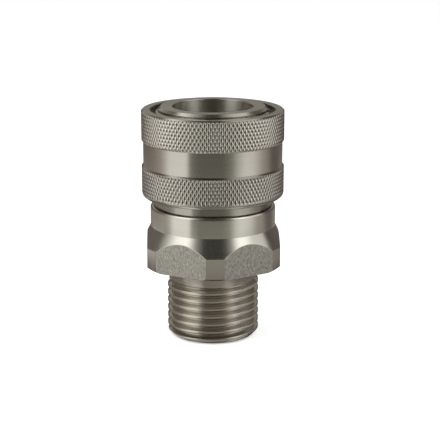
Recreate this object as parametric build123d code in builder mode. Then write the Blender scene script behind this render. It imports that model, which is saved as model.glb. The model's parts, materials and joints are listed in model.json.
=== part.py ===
"""Ball-lock quick coupling, the socket half: a sprung sleeve, eight locking balls and a poppet valve.

Millimetres, +Z up the axis. The origin is the centre of the thread's end face.
"""

from build123d import *
import os
from math import cos, radians, sin, sqrt

# Clearances
slide_gap = 0.1  # radial, where the sleeve runs on the body
stem_gap = 0.06  # radial, where the valve stem runs in its guide
seat_gap = 0.03  # between pieces that bear on each other and also move
joint_gap = 0.05  # radial, where the front body screws into the adapter
stop_gap = 0.1  # left between the sleeve and the collar when the sleeve is fully back

# Threaded end: a G1/2 parallel pipe thread, drawn at its crest
thread_r = 10.45
thread_length = 12.9
thread_chamfer = 1.1
shank_r = 10.1
shank_length = 3.9
thread_wall = 3.05  # from the thread's crest to the bore that holds the valve guide
guide_ledge = 0.9  # the step that the guide stands on
port_chamfer = 0.5

# Plug socket
bore_r = 9.1
nose_wall = 3.2
mouth_chamfer = 0.12
nose_chamfer = 0.6
spring_relief = 0.4  # how far the nose is turned down where the sleeve spring lies
shoulder_width = 1.0  # ledge that carries the sleeve spring
throat_step = 2.7  # from the plug bore to the narrower bore of the valve seat
throat_length = 2.0
bore_floor_rise = 0.74  # from the collar's top to the bottom of the plug bore

# Sleeve
sleeve_rise = 2.04  # from the collar's top to the sleeve's lower end
sleeve_travel = 5.2
guide_length = 0.94  # stretch of the neck that guides the sleeve at rest
spring_space = 9.7  # height of the sleeve spring at rest
land_length = 4.4
land_chamfer = 0.6
mouth_step = 1.65  # room round the nose that the balls move out into
skirt_gap = 0.2
skirt_wall = 1.67
grip_depth = 0.37  # the plain groove lies this deep below the knurl
lower_knurl = 7.1
grip_groove = 5.35
foot_width = 0.57
foot_height = 1.0
rim_chamfer = 0.3
nose_proud = 0.7  # how far the nose stands above the sleeve

# Retaining ring and balls
ring_wire = 1.2
ring_lift = 0.15  # how far the wire's centre lies outside the nose
ring_opening = 12  # degrees
ring_opening_at = -8  # degrees from +X
ring_lip = 0.41  # wall of the nose above the ring's groove
ball_count = 8
ball_reach = 0.7  # how far a locked ball stands into the bore
ball_drop = 3.1  # below the top of the sleeve's land
ball_hole_gap = 0.05
ball_lip = 0.8  # depth of the narrowed inner end of a ball's hole

# Collar and hexagon
collar_step = 0.9
collar_height = 4.86
collar_round = 0.6
cone_height = 4.0
hex_step = 0.8  # how far the flats stand out from the collar
hex_corner_step = 1.27  # from the flats to the turned corners
hex_height = 5.0
hex_edge = 0.4

# Joint between adapter and front body
spigot_step = 1.1
spigot_length = 6.5
cup_room = 0.2
joint_seal_wire = 1.5
joint_seal_rise = 1.6  # from the spigot's end to the ring's centre

# Plug seals
seal_groove_rise = 1.2
seal_wire = 2.4
seal_room = 0.3  # left in the groove beside the two rings
seal_squeeze = 0.3  # how far the seal ring stands into the bore
backup_width = 1.0

# Valve
chamber_wall = 2.8
head_step = 1.5  # flow room round the poppet's head
head_inset = 0.6  # from the valve seat's bore in to the face of the head
head_edge = 1.2
head_gap = 0.15  # between the metal of head and seat while the seal ring bears
tip_r = 2.6
tip_length = 4.1
tip_chamfer = 0.5
stem_r = 1.5
stem_end = 0.6  # how far the stem stops above the guide's lower face
boss_step = 0.15  # between a spring boss and the spring's inside
boss_height = 1.2
valve_seal_width = 1.6
valve_seal_depth = 1.0
guide_step = 10.0
guide_thickness = 2.0
guide_ring = 0.85
guide_arms = 3
guide_arm_angle = 34
chamber_rise = 0.8  # from the hexagon's underside to the widening of the bore

# Springs
sleeve_spring_wire = 1.1
sleeve_spring_turns = 3.5
valve_spring_wire = 0.9
valve_spring_r = 4.2
valve_spring_turns = 7
wire_sides = 6  # the springs' wire has six flat sides in place of a round section, to stay light

# Radii that follow from these
nose_r = bore_r + nose_wall
neck_r = nose_r + shoulder_width
collar_r = neck_r + collar_step
flat_r = collar_r + hex_step
corner_r = flat_r + hex_corner_step
land_r = nose_r + slide_gap
guide_r = neck_r + slide_gap
skirt_r = collar_r + skirt_gap
sleeve_r = skirt_r + skirt_wall
mouth_r = land_r + mouth_step
spring_zone_r = nose_r - spring_relief
spigot_r = neck_r - spigot_step
cup_r = spigot_r + joint_gap
chamber_r = spigot_r - chamber_wall
throat_r = bore_r - throat_step
head_r = chamber_r - head_step
head_face_r = throat_r - head_inset
guide_bore_r = thread_r - thread_wall
waterway_r = guide_bore_r - guide_ledge

# Heights that follow from these
hex_bottom = thread_length + shank_length
hex_top = hex_bottom + hex_height
chamber_taper_bottom = hex_bottom + chamber_rise
collar_bottom = hex_top + cone_height
collar_top = collar_bottom + collar_height
sleeve_bottom = collar_top + sleeve_rise
skirt_top = collar_top + sleeve_travel + stop_gap
spring_bottom = skirt_top + guide_length
land_bottom = spring_bottom + spring_space
land_top = land_bottom + land_length
ball_z = land_top - ball_drop
spigot_end = collar_top - spigot_length
cup_floor = spigot_end - cup_room
bore_floor = collar_top + bore_floor_rise
seat_top = bore_floor - throat_length

# The ring's wire bears on the 45 degree edge of the sleeve's land
ring_r = nose_r + ring_lift
ring_z = land_top - land_chamfer + (ring_r - land_r) + sqrt(2) * (ring_wire / 2 + seat_gap)
nose_top = ring_z + ring_wire / 2 + ring_lip + nose_chamfer
sleeve_top = nose_top - nose_proud


def corner(sketch, r, z):
    """The corner of a turned profile at this radius and height."""
    return sketch.vertices().sort_by_distance((r, z))[0]


def write(builder, name):
    """Labels a finished piece and writes its file."""
    builder.part.label = name
    export_step(builder.part, f"parts/{name}.step")


os.makedirs("parts", exist_ok=True)

# Adapter: thread, hexagon with turned corners, collar, and the chamber that holds the valve
with BuildPart() as adapter:
    with BuildSketch(Plane.XZ) as adapter_profile:
        with BuildLine():
            Polyline(
                (waterway_r + port_chamfer, 0),
                (thread_r - thread_chamfer, 0),
                (thread_r, thread_chamfer),
                (thread_r, thread_length),
                (shank_r, thread_length + thread_r - shank_r),
                (shank_r, hex_bottom),
                (corner_r - hex_edge, hex_bottom),
                (corner_r, hex_bottom + hex_edge),
                (corner_r, hex_top),
                (collar_r, collar_bottom),
                (collar_r, collar_top),
                (cup_r, collar_top),
                (cup_r, cup_floor),
                (chamber_r, cup_floor),
                (chamber_r, chamber_taper_bottom + chamber_r - guide_bore_r),
                (guide_bore_r, chamber_taper_bottom),
                (guide_bore_r, guide_step),
                (waterway_r, guide_step),
                (waterway_r, port_chamfer),
                close=True,
            )
        make_face()
        fillet(corner(adapter_profile, collar_r, collar_top), collar_round)
    revolve(axis=Axis.Z)
    with BuildSketch():
        RegularPolygon(flat_r, 6, major_radius=False, rotation=30)
    extrude(amount=collar_top, mode=Mode.INTERSECT)
write(adapter, "adapter")

# One hole for a locking ball, along +X: plain outside, narrowed at the bore so that the ball stays in
ball_r = (nose_wall + slide_gap + ball_reach) / 2
ball_place_r = land_r - ball_r - seat_gap
lip_r = sqrt(ball_r**2 - (ball_place_r - bore_r) ** 2) + ball_hole_gap
with BuildPart() as ball_hole:
    with BuildSketch(Plane.XZ):
        with BuildLine():
            Polyline(
                (bore_r - nose_wall, ball_z),
                (bore_r - nose_wall, ball_z + lip_r),
                (bore_r, ball_z + lip_r),
                (bore_r + ball_lip, ball_z + ball_r + ball_hole_gap),
                (nose_r + nose_wall, ball_z + ball_r + ball_hole_gap),
                (nose_r + nose_wall, ball_z),
                close=True,
            )
        make_face()
    revolve(axis=Axis((0, 0, ball_z), (1, 0, 0)))

# Front body: the nose with its ball holes and ring groove, the neck, the spigot and the valve seat
seal_groove_bottom = bore_floor + seal_groove_rise
seal_groove_r = bore_r - seal_squeeze + seal_wire + seat_gap
seal_groove_top = seal_groove_bottom + seal_wire + backup_width + seal_room
joint_groove_r = spigot_r + joint_gap - joint_seal_wire
joint_seal_z = spigot_end + joint_seal_rise
joint_groove_half = joint_seal_wire / 2 + joint_gap
with BuildPart() as front_body:
    with BuildSketch(Plane.XZ):
        with BuildLine():
            Polyline(
                (chamber_r, spigot_end),
                (spigot_r, spigot_end),
                (spigot_r, joint_seal_z - joint_groove_half),
                (joint_groove_r - joint_gap, joint_seal_z - joint_groove_half),
                (joint_groove_r - joint_gap, joint_seal_z + joint_groove_half),
                (spigot_r, joint_seal_z + joint_groove_half),
                (spigot_r, collar_top),
                (neck_r, collar_top),
                (neck_r, spring_bottom),
                (spring_zone_r, spring_bottom),
                (spring_zone_r, land_bottom + seat_gap),
                (nose_r, land_bottom + seat_gap + spring_relief),
                (nose_r, nose_top - nose_chamfer),
                (nose_r - nose_chamfer, nose_top),
                (bore_r + mouth_chamfer, nose_top),
                (bore_r, nose_top - mouth_chamfer),
                (bore_r, seal_groove_top),
                (seal_groove_r, seal_groove_top),
                (seal_groove_r, seal_groove_bottom),
                (bore_r, seal_groove_bottom),
                (bore_r, bore_floor),
                (throat_r, bore_floor),
                (throat_r, seat_top),
                (chamber_r, seat_top - (chamber_r - throat_r)),
                close=True,
            )
        make_face()
        with Locations((ring_r, ring_z)):
            Rectangle(ring_wire + 2 * seat_gap, ring_wire + 2 * seat_gap, mode=Mode.SUBTRACT)
    revolve(axis=Axis.Z)
    with PolarLocations(0, ball_count):
        add(ball_hole.part, mode=Mode.SUBTRACT)
write(front_body, "front_body")

# Sleeve: two bands for the knurl with a plain groove between, and inside it skirt, guide, land and mouth
groove_bottom = sleeve_bottom + lower_knurl
groove_top = groove_bottom + grip_groove
with BuildPart() as sleeve:
    with BuildSketch(Plane.XZ):
        with BuildLine():
            foot_centre = (sleeve_r - foot_width, sleeve_bottom + foot_height)
            foot = EllipticalCenterArc(foot_centre, foot_width, foot_height, start_angle=-90, arc_size=90)
            Polyline(
                foot @ 1,
                (sleeve_r, groove_bottom - grip_depth),
                (sleeve_r - grip_depth, groove_bottom),
                (sleeve_r - grip_depth, groove_top),
                (sleeve_r, groove_top + grip_depth),
                (sleeve_r, sleeve_top - rim_chamfer),
                (sleeve_r - rim_chamfer, sleeve_top),
                (mouth_r + mouth_chamfer, sleeve_top),
                (mouth_r, sleeve_top - mouth_chamfer),
                (mouth_r, land_top),
                (land_r + land_chamfer, land_top),
                (land_r, land_top - land_chamfer),
                (land_r, land_bottom),
                (guide_r, land_bottom),
                (guide_r, skirt_top),
                (skirt_r, skirt_top),
                (skirt_r, sleeve_bottom),
                foot @ 0,
            )
        make_face()
    revolve(axis=Axis.Z)
write(sleeve, "sleeve")

# Retaining ring: a round wire, open at one place, in the groove of the nose
ring_start = radians(ring_opening_at + ring_opening / 2)
ring_plane = Plane(
    origin=(0, 0, 0), x_dir=(cos(ring_start), sin(ring_start), 0), z_dir=(sin(ring_start), -cos(ring_start), 0)
)
with BuildPart() as retaining_ring:
    with BuildSketch(ring_plane):
        with Locations((ring_r, ring_z)):
            Circle(ring_wire / 2)
    revolve(axis=Axis.Z, revolution_arc=360 - ring_opening)
write(retaining_ring, "sleeve_retaining_ring")

# Locking balls, held in by the sleeve's land
for number, place in enumerate(PolarLocations(ball_place_r, ball_count), start=1):
    with BuildPart() as ball:
        with Locations(place * Pos(0, 0, ball_z)):
            Sphere(ball_r)
    write(ball, f"ball_{number}")


def coil_spring(name, coil_r, wire, bottom, top, turns):
    """A compression spring between two heights, with its ends ground flat."""
    with BuildPart() as spring:
        with BuildLine():
            path = Helix(pitch=(top - bottom) / turns, height=top - bottom, radius=coil_r, center=(0, 0, bottom))
        with BuildSketch(Plane(origin=path @ 0, z_dir=path % 0)):
            RegularPolygon(wire / 2, wire_sides)
        sweep(path=path, is_frenet=True)
        with BuildSketch(Plane.XY.offset(bottom)):
            Circle(coil_r + wire)
        extrude(amount=top - bottom, mode=Mode.INTERSECT)
    write(spring, name)


# Sleeve spring, on the neck's ledge, against the underside of the sleeve's land
sleeve_spring_r = (spring_zone_r + guide_r) / 2
coil_spring(
    "sleeve_spring",
    sleeve_spring_r,
    sleeve_spring_wire,
    spring_bottom + seat_gap,
    land_bottom - seat_gap,
    sleeve_spring_turns,
)


def round_ring(name, section_r, ring_radius, height):
    """A ring of round section."""
    with BuildPart() as ring:
        with BuildSketch(Plane.XZ):
            with Locations((ring_radius, height)):
                Circle(section_r)
        revolve(axis=Axis.Z)
    write(ring, name)


# Seal on the plug: a round ring below, where the pressure is, and a flat backup ring above it
plug_seal_r = seal_groove_r - seat_gap - seal_wire / 2
round_ring("plug_seal_ring", seal_wire / 2, plug_seal_r, seal_groove_bottom + seat_gap + seal_wire / 2)
backup_bottom = seal_groove_top - seat_gap - backup_width
with BuildPart() as backup_ring:
    with BuildSketch(Plane.XY.offset(backup_bottom)):
        Circle(seal_groove_r - seat_gap)
        Circle(bore_r + seat_gap, mode=Mode.SUBTRACT)
    extrude(amount=backup_width)
write(backup_ring, "plug_backup_ring")

# Seal between the spigot and the adapter's cup
round_ring(
    "joint_seal_ring", joint_seal_wire / 2, joint_groove_r + joint_seal_wire / 2 - seat_gap, joint_seal_z
)

# Valve poppet: tip, head with a 45 degree face and a groove for its seal, and the stem below
head_face_z = seat_top - (head_face_r - throat_r) - sqrt(2) * head_gap
head_shoulder_z = head_face_z - (head_r - head_face_r)
head_back = head_shoulder_z - head_edge
tip_top = head_face_z + tip_length
spring_inner_r = valve_spring_r - valve_spring_wire / 2
valve_seal_r = (head_face_r + head_r) / 2
valve_seal_z = seat_top - (valve_seal_r - throat_r) - sqrt(2) * (valve_seal_depth / 2 + seat_gap)
with BuildPart() as poppet:
    with BuildSketch(Plane.XZ):
        with BuildLine():
            Polyline(
                (0, guide_step + stem_end),
                (stem_r, guide_step + stem_end),
                (stem_r, head_back - boss_height),
                (spring_inner_r - boss_step, head_back - boss_height),
                (spring_inner_r - boss_step, head_back),
                (head_r, head_back),
                (head_r, head_shoulder_z),
                (head_face_r, head_face_z),
                (tip_r, head_face_z),
                (tip_r, tip_top - tip_chamfer),
                (tip_r - tip_chamfer, tip_top),
                (0, tip_top),
                close=True,
            )
        make_face()
        with Locations((valve_seal_r, valve_seal_z)):
            groove_size = (valve_seal_width + 2 * seat_gap, valve_seal_depth + 2 * seat_gap)
            Rectangle(*groove_size, rotation=-45, mode=Mode.SUBTRACT)
    revolve(axis=Axis.Z)
write(poppet, "valve_poppet")

# The valve's seal, a flat band in the 45 degree face of the head, a little proud of the metal
with BuildPart() as valve_seal:
    with BuildSketch(Plane.XZ):
        with Locations((valve_seal_r, valve_seal_z)):
            Rectangle(valve_seal_width, valve_seal_depth, rotation=-45)
    revolve(axis=Axis.Z)
write(valve_seal, "valve_seal_ring")

# Valve guide: a hub for the stem, held by arms in a ring that stands on the adapter's step
guide_outer_r = guide_bore_r - joint_gap
window_outer_r = guide_outer_r - guide_ring
window_inner_r = valve_spring_r + valve_spring_wire / 2 + boss_step
guide_top = guide_step + guide_thickness
with BuildPart() as guide:
    with BuildSketch(Plane.XY.offset(guide_step)):
        Circle(guide_outer_r)
    extrude(amount=guide_thickness)
    with BuildSketch(Plane.XY.offset(guide_top)):
        Circle(spring_inner_r - boss_step)
    extrude(amount=boss_height)
    with BuildSketch(Plane.XY.offset(guide_step)):
        Circle(stem_r + stem_gap)
    extrude(amount=guide_thickness + boss_height, mode=Mode.SUBTRACT)
    window_r = (window_inner_r + window_outer_r) / 2
    window_width = window_outer_r - window_inner_r
    with BuildSketch(Plane.XY.offset(guide_step)):
        with PolarLocations(0, guide_arms):
            SlotArc(CenterArc((0, 0), window_r, guide_arm_angle / 2, 360 / guide_arms - guide_arm_angle), window_width)
    extrude(amount=guide_thickness, mode=Mode.SUBTRACT)
write(guide, "valve_guide")

# Valve spring, between the guide and the back of the poppet's head
coil_spring(
    "valve_spring", valve_spring_r, valve_spring_wire, guide_top + seat_gap, head_back - seat_gap, valve_spring_turns
)

for label, value in (
    ("sleeve radius", sleeve_r),
    ("across the flats", 2 * flat_r),
    ("ball diameter", 2 * ball_r),
    ("ball height", ball_z),
    ("sleeve top", sleeve_top),
    ("nose top", nose_top),
    ("poppet tip", tip_top),
    ("sleeve spring fixed end", spring_bottom),
    ("valve spring fixed end", guide_top),
):
    print(label, round(value, 3))
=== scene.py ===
# %% [markdown]
# # A ball-lock quick coupling in stainless steel
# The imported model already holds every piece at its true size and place. This lesson gives the pieces their looks. Two
# turned pieces get what a plain model leaves out, the screw thread and the knurl, and both are cut from a blank, as
# in the workshop. The inner pieces keep their shape and get their finish.

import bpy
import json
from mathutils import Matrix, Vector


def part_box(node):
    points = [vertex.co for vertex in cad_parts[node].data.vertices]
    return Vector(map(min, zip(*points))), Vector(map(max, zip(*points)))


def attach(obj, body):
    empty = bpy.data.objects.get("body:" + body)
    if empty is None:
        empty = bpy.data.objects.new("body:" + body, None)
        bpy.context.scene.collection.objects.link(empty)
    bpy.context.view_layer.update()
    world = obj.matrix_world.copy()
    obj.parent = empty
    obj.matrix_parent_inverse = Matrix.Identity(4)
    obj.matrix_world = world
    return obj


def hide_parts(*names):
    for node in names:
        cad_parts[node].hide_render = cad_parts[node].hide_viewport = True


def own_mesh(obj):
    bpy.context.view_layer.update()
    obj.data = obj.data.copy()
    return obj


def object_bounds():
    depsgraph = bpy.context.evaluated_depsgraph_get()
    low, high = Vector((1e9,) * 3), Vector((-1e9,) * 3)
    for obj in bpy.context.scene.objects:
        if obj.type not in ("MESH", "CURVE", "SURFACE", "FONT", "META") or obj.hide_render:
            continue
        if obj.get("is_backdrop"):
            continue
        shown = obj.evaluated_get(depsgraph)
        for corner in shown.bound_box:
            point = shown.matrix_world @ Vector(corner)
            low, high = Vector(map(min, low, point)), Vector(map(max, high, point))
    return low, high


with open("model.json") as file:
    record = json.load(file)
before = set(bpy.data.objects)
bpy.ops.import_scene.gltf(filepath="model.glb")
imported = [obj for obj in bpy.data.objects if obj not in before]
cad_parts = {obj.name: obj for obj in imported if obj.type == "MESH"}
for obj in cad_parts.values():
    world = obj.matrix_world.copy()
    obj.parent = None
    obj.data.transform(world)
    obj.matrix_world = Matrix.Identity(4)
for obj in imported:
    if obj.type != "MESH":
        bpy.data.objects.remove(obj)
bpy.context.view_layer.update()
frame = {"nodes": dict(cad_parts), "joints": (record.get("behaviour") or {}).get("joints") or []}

# %% [markdown]
# ## Units and sizes
# Blender works in metres here, and a fitting is easier to read in millimetres, so every size below is written in
# millimetres and multiplied once. Sizes that the frame knows are read from it, so that they can't drift apart. Points
# closer than SAME_POINT, in metres, count as one.

# %% Modules, units and sizes read from the frame
import json
from math import acos, atan2, ceil, cos, hypot, pi, radians, sin

import bmesh
import bpy
from mathutils import Vector

MM = 0.001
SAME_POINT = 1e-7


def span(node):
    """The lowest and highest corner of a CAD node, in millimetres."""
    low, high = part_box(node)
    return [x / MM for x in low], [x / MM for x in high]


_, adapter_high = span("adapter")
sleeve_low, sleeve_high = span("sleeve")
flat_r = adapter_high[0]
corner_r = adapter_high[1]
collar_top = adapter_high[2]
sleeve_r = sleeve_high[0]
sleeve_bottom = sleeve_low[2]
sleeve_top = sleeve_high[2]
print("hexagon", round(2 * flat_r, 2), "collar top", round(collar_top, 2), "sleeve", round(2 * sleeve_r, 2))

# %% [markdown]
# ## A blank on the lathe
# A turned piece is one outline carried round an axis. Blender's Screw or Spin could do it, but a milled hexagon is
# also just an outline that changes a little with the angle. One helper therefore asks for the outline at each angle
# and joins the rings. The mesh closes on itself both ways, so that the cutting steps later get a true solid.


# %% The helper that turns an outline into a solid
def new_piece(name, points, faces):
    """An object in the scene with a mesh of its own, from points in metres and faces."""
    mesh = bpy.data.meshes.new(name)
    mesh.from_pydata(points, [], faces)
    piece = bpy.data.objects.new(name, mesh)
    bpy.context.scene.collection.objects.link(piece)
    return piece


def turned_solid(name, outline_at, angles):
    """A closed solid: outline_at(angle) gives as many (radius, height) points at every angle."""
    rings = [outline_at(angle) for angle in angles]
    count = len(rings[0])
    points = [
        (r * cos(angle) * MM, r * sin(angle) * MM, z * MM)
        for angle, ring in zip(angles, rings)
        for r, z in ring
    ]
    faces = []
    for i in range(len(angles)):
        here, there = i * count, (i + 1) % len(angles) * count
        for j in range(count):
            k = (j + 1) % count
            faces.append((here + j, there + j, there + k, here + k))
    return new_piece(name, points, faces)


def even_angles(count):
    """Equal steps round the axis."""
    return [2 * pi * i / count for i in range(count)]


def rounded_corner(centre, radius, start, end, steps):
    """Points on an arc between two angles in degrees, both ends included."""
    turns = [radians(start + (end - start) * i / steps) for i in range(steps + 1)]
    return [(centre[0] + radius[0] * cos(turn), centre[1] + radius[1] * sin(turn)) for turn in turns]


# %% [markdown]
# ## The adapter's blank
# The adapter starts as a turned bar. Its thread end, shank, collar and bores are round. The hexagon is milled across
# the bar, and the bar's own round surface is left at the six corners. For a given angle the flat lies at a radius
# that grows towards the corner, so the outline takes the smaller of the flat and the turned surface. The curved edge
# where the cone runs into a flat then comes out exactly, with no boolean. No real edge is quite sharp, so each is
# broken by a few hundredths of a millimetre, enough to catch the light.

# %% Sizes of the adapter
thread_r = 10.45
thread_chamfer = 1.1
relief_r = 9.55
relief_bottom = 12.7
relief_top = 14.1
shank_r = 10.1
hex_bottom = 16.8
hex_top = 21.8
collar_bottom = 25.8
collar_r = 14.2
collar_round = 0.85
hex_edge = 0.4
cup_r = 12.25
cup_floor = 23.96
chamber_r = 9.4
guide_bore_r = 7.4
chamber_taper = 17.6
guide_step = 10.0
waterway_r = 6.5
port_chamfer = 0.5
edge_break = 0.07
cone_slope = (collar_bottom - hex_top) / (corner_r - collar_r)
print("thread", 2 * thread_r, "shank", 2 * shank_r, "collar", 2 * collar_r, "cone slope", round(cone_slope, 2))


# %% The adapter's outline at one angle
def adapter_outline(angle):
    """The section of the adapter's blank, the hexagon's flats facing +X and -X among others."""
    from_flat = (angle + pi / 6) % (pi / 3) - pi / 6
    milled = flat_r / cos(from_flat)
    foot = min(milled, corner_r - hex_edge)
    wide = min(milled, corner_r)
    rise = hex_bottom + wide - foot
    return [
        (waterway_r, port_chamfer),
        (waterway_r + port_chamfer, 0),
        (thread_r - thread_chamfer, 0),
        (thread_r, thread_chamfer),
        (thread_r, relief_bottom),
        (relief_r, relief_bottom + (thread_r - relief_r) / 2),
        (relief_r, relief_top - (shank_r - relief_r) / 2),
        (shank_r, relief_top),
        (shank_r, hex_bottom - edge_break),
        (shank_r + edge_break, hex_bottom),
        (foot - edge_break, hex_bottom),
        (foot, hex_bottom + edge_break),
        (wide, max(hex_bottom + 2 * edge_break, rise)),
        (wide, hex_top + (corner_r - wide) * cone_slope - edge_break),
        (wide - edge_break / 3, hex_top + (corner_r - wide) * cone_slope + edge_break / 2),
        (collar_r + edge_break / 2, collar_bottom - edge_break),
        (collar_r, collar_bottom + edge_break / 2),
        *rounded_corner((collar_r - collar_round, collar_top - collar_round), (collar_round,) * 2, 0, 90, 12),
        (cup_r, collar_top),
        (cup_r, cup_floor),
        (chamber_r, cup_floor),
        (chamber_r, chamber_taper + chamber_r - guide_bore_r),
        (guide_bore_r, chamber_taper),
        (guide_bore_r, guide_step),
        (waterway_r, guide_step),
    ]


# %% The adapter's angles, with one at each corner of the milled outline
adapter_steps = 288
corner_turn = acos(flat_r / corner_r)
foot_turn = acos(flat_r / (corner_r - hex_edge))
adapter_angles = even_angles(adapter_steps)
for side in range(6):
    for turn in (-corner_turn, -foot_turn, foot_turn, corner_turn):
        exact = (side * pi / 3 + turn) % (2 * pi)
        nearest = round(exact / (2 * pi) * adapter_steps) % adapter_steps
        adapter_angles[nearest] = exact
adapter = turned_solid("threaded_adapter", adapter_outline, adapter_angles)
print("adapter blank", len(adapter.data.polygons), "faces")

# %% [markdown]
# ## The sleeve's blank
# The sleeve is round all over: two bands at the knurl's height with a plain groove between them, a rounded foot, and
# inside it the skirt, the guide, the land that locks the balls, and the open mouth round the nose.

# %% Sizes of the sleeve
grip_depth = 0.37
groove_bottom = 39.8
groove_top = 45.15
foot_width = 0.57
foot_height = 1.0
rim_chamfer = 0.3
mouth_r = 14.05
mouth_chamfer = 0.12
land_top = 51.0
land_bottom = 46.6
land_r = 12.4
land_chamfer = 0.6
guide_r = 13.4
skirt_top = 35.96
skirt_r = 14.4
diamonds_round = 108
print("groove", round(groove_top - groove_bottom, 2), "high, land", 2 * land_r, "mouth", 2 * mouth_r)


# %% The sleeve's outline and blank
def sleeve_outline(angle):
    """The section of the sleeve's blank, which is the same at every angle."""
    foot_centre = (sleeve_r - foot_width, sleeve_bottom + foot_height)
    return [
        (skirt_r, sleeve_bottom + edge_break),
        (skirt_r + edge_break, sleeve_bottom),
        *rounded_corner(foot_centre, (foot_width, foot_height), -90, 0, 14),
        (sleeve_r, groove_bottom - grip_depth),
        (sleeve_r - grip_depth, groove_bottom),
        (sleeve_r - grip_depth, groove_top),
        (sleeve_r, groove_top + grip_depth),
        (sleeve_r, sleeve_top - rim_chamfer),
        (sleeve_r - rim_chamfer, sleeve_top),
        (mouth_r + mouth_chamfer, sleeve_top),
        (mouth_r, sleeve_top - mouth_chamfer),
        (mouth_r, land_top),
        (land_r + land_chamfer, land_top),
        (land_r, land_top - land_chamfer),
        (land_r, land_bottom),
        (guide_r, land_bottom),
        (guide_r, skirt_top),
        (skirt_r, skirt_top),
    ]


sleeve = turned_solid("knurled_sleeve", sleeve_outline, even_angles(4 * diamonds_round))
print("sleeve blank", len(sleeve.data.polygons), "faces")

# %% [markdown]
# ## Nodes from a script
# A node tree is easier to read in a script when a formula looks like a formula. One helper adds any node and takes
# numbers or other nodes' outputs as its inputs. The others do the same for arithmetic and for steps that both kinds
# of tree need here: the distance from the axis, a value that runs between two ends, and a mixed colour.


# %% Helpers for node trees
FLOAT, INT, VECTOR, GEOMETRY, MATERIAL = (
    f"NodeSocket{kind}" for kind in ("Float", "Int", "Vector", "Geometry", "Material")
)


def put(tree, kind, inputs=None, **settings):
    """Adds a node. Inputs are given by name or number, each a value or an output of another node."""
    made = tree.nodes.new(kind)
    for name, value in settings.items():
        setattr(made, name, value)
    for key, value in (inputs or {}).items():
        if isinstance(value, bpy.types.NodeSocket):
            tree.links.new(value, made.inputs[key])
        else:
            made.inputs[key].default_value = value
    return made


def calc(tree, operation, *values):
    """An arithmetic node's result."""
    return put(tree, "ShaderNodeMath", dict(enumerate(values)), operation=operation).outputs[0]


def plus(tree, a, b):
    """The sum of two values."""
    return calc(tree, "ADD", a, b)


def minus(tree, a, b):
    """One value less another."""
    return calc(tree, "SUBTRACT", a, b)


def times(tree, a, b):
    """One value times another."""
    return calc(tree, "MULTIPLY", a, b)


def from_axis(tree, vector):
    """A position's distance from the Z axis, then its X, Y and Z."""
    x, y, z = put(tree, "ShaderNodeSeparateXYZ", {0: vector}).outputs
    squares = plus(tree, times(tree, x, x), times(tree, y, y))
    return calc(tree, "SQRT", squares), x, y, z


def run_between(tree, value, start, end, low=0.0, high=1.0, **settings):
    """Runs from low to high while a value runs from start to end, and stays there past the ends."""
    ends = {0: value, 1: start, 2: end, 3: low, 4: high}
    return put(tree, "ShaderNodeMapRange", ends, **settings).outputs[0]


def mixed_colour(tree, share, first, second):
    """A colour between two others, each given by four numbers or by a node's output."""
    return put(tree, "ShaderNodeMix", {0: share, 6: first, 7: second}, data_type="RGBA").outputs[2]


def new_tree(name, kind, inputs, outputs):
    """A node group with named inputs (name, type, value) and outputs (name, type)."""
    tree = bpy.data.node_groups.new(name, kind)
    for label, socket_type, value in inputs:
        socket = tree.interface.new_socket(label, in_out="INPUT", socket_type=socket_type)
        if value is not None:
            socket.default_value = value
    for label, socket_type in outputs:
        tree.interface.new_socket(label, in_out="OUTPUT", socket_type=socket_type)
    entry = tree.nodes.new("NodeGroupInput")
    leave = tree.nodes.new("NodeGroupOutput")
    return tree, entry.outputs, leave.inputs


# %% [markdown]
# ## Cutters from a grid
# Thread and knurl are both patterns on a cylinder, so one idea makes them both. A flat grid is bent into a closed
# solid that works like a tool: most of its rows are the cutting wall, and three more rows go round its outside and
# back to the first. What the tool bites out of the blank is the thread or the knurl, and where its wall stands clear
# of the blank, the turned surface stays, as on the flat crests of the real thing.


# %% The cutter's shared nodes
def wrapped_grid(tree, around, rows, bottom, top):
    """A grid, with its turn from 0 to 1, its line, its row and its height, ready to be wrapped as a tool."""
    sizes = {"Size X": 1, "Size Y": 1, "Vertices X": plus(tree, around, 1), "Vertices Y": plus(tree, rows, 3)}
    grid = put(tree, "GeometryNodeMeshGrid", sizes)
    corner = put(tree, "ShaderNodeSeparateXYZ", {0: put(tree, "GeometryNodeInputPosition").outputs[0]})
    turn = plus(tree, corner.outputs["X"], 0.5)
    last_line = plus(tree, rows, 2)
    line = times(tree, plus(tree, corner.outputs["Y"], 0.5), last_line)
    row = calc(tree, "ROUND", line)
    share = calc(tree, "MINIMUM", calc(tree, "DIVIDE", row, minus(tree, rows, 1)), 1)
    climbed = times(tree, share, minus(tree, top, bottom))
    height = plus(tree, bottom, climbed)
    goes_back = calc(tree, "GREATER_THAN", row, plus(tree, rows, 0.5))
    down = times(tree, goes_back, minus(tree, bottom, height))
    return grid.outputs["Mesh"], turn, line, row, plus(tree, height, down)


def bent_tool(tree, grid, turns, row, rows, height, wall, outside):
    """The grid bent round the axis: the wall's rows at the wall's radius, the two after them outside."""
    after_wall = calc(tree, "GREATER_THAN", row, minus(tree, rows, 0.5))
    before_end = calc(tree, "LESS_THAN", row, plus(tree, rows, 1.5))
    is_outer = times(tree, after_wall, before_end)
    step = times(tree, is_outer, minus(tree, outside, wall))
    radius = plus(tree, wall, step)
    angle = times(tree, turns, 2 * pi)
    x = times(tree, radius, calc(tree, "COSINE", angle))
    y = times(tree, radius, calc(tree, "SINE", angle))
    place = put(tree, "ShaderNodeCombineXYZ", {0: x, 1: y, 2: height}).outputs[0]
    placed = put(tree, "GeometryNodeSetPosition", {"Geometry": grid, "Position": place}).outputs[0]
    closed = put(tree, "GeometryNodeMergeByDistance", {"Geometry": placed, "Distance": SAME_POINT}).outputs[0]
    return put(tree, "GeometryNodeFlipFaces", {"Mesh": closed}).outputs[0]


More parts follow.
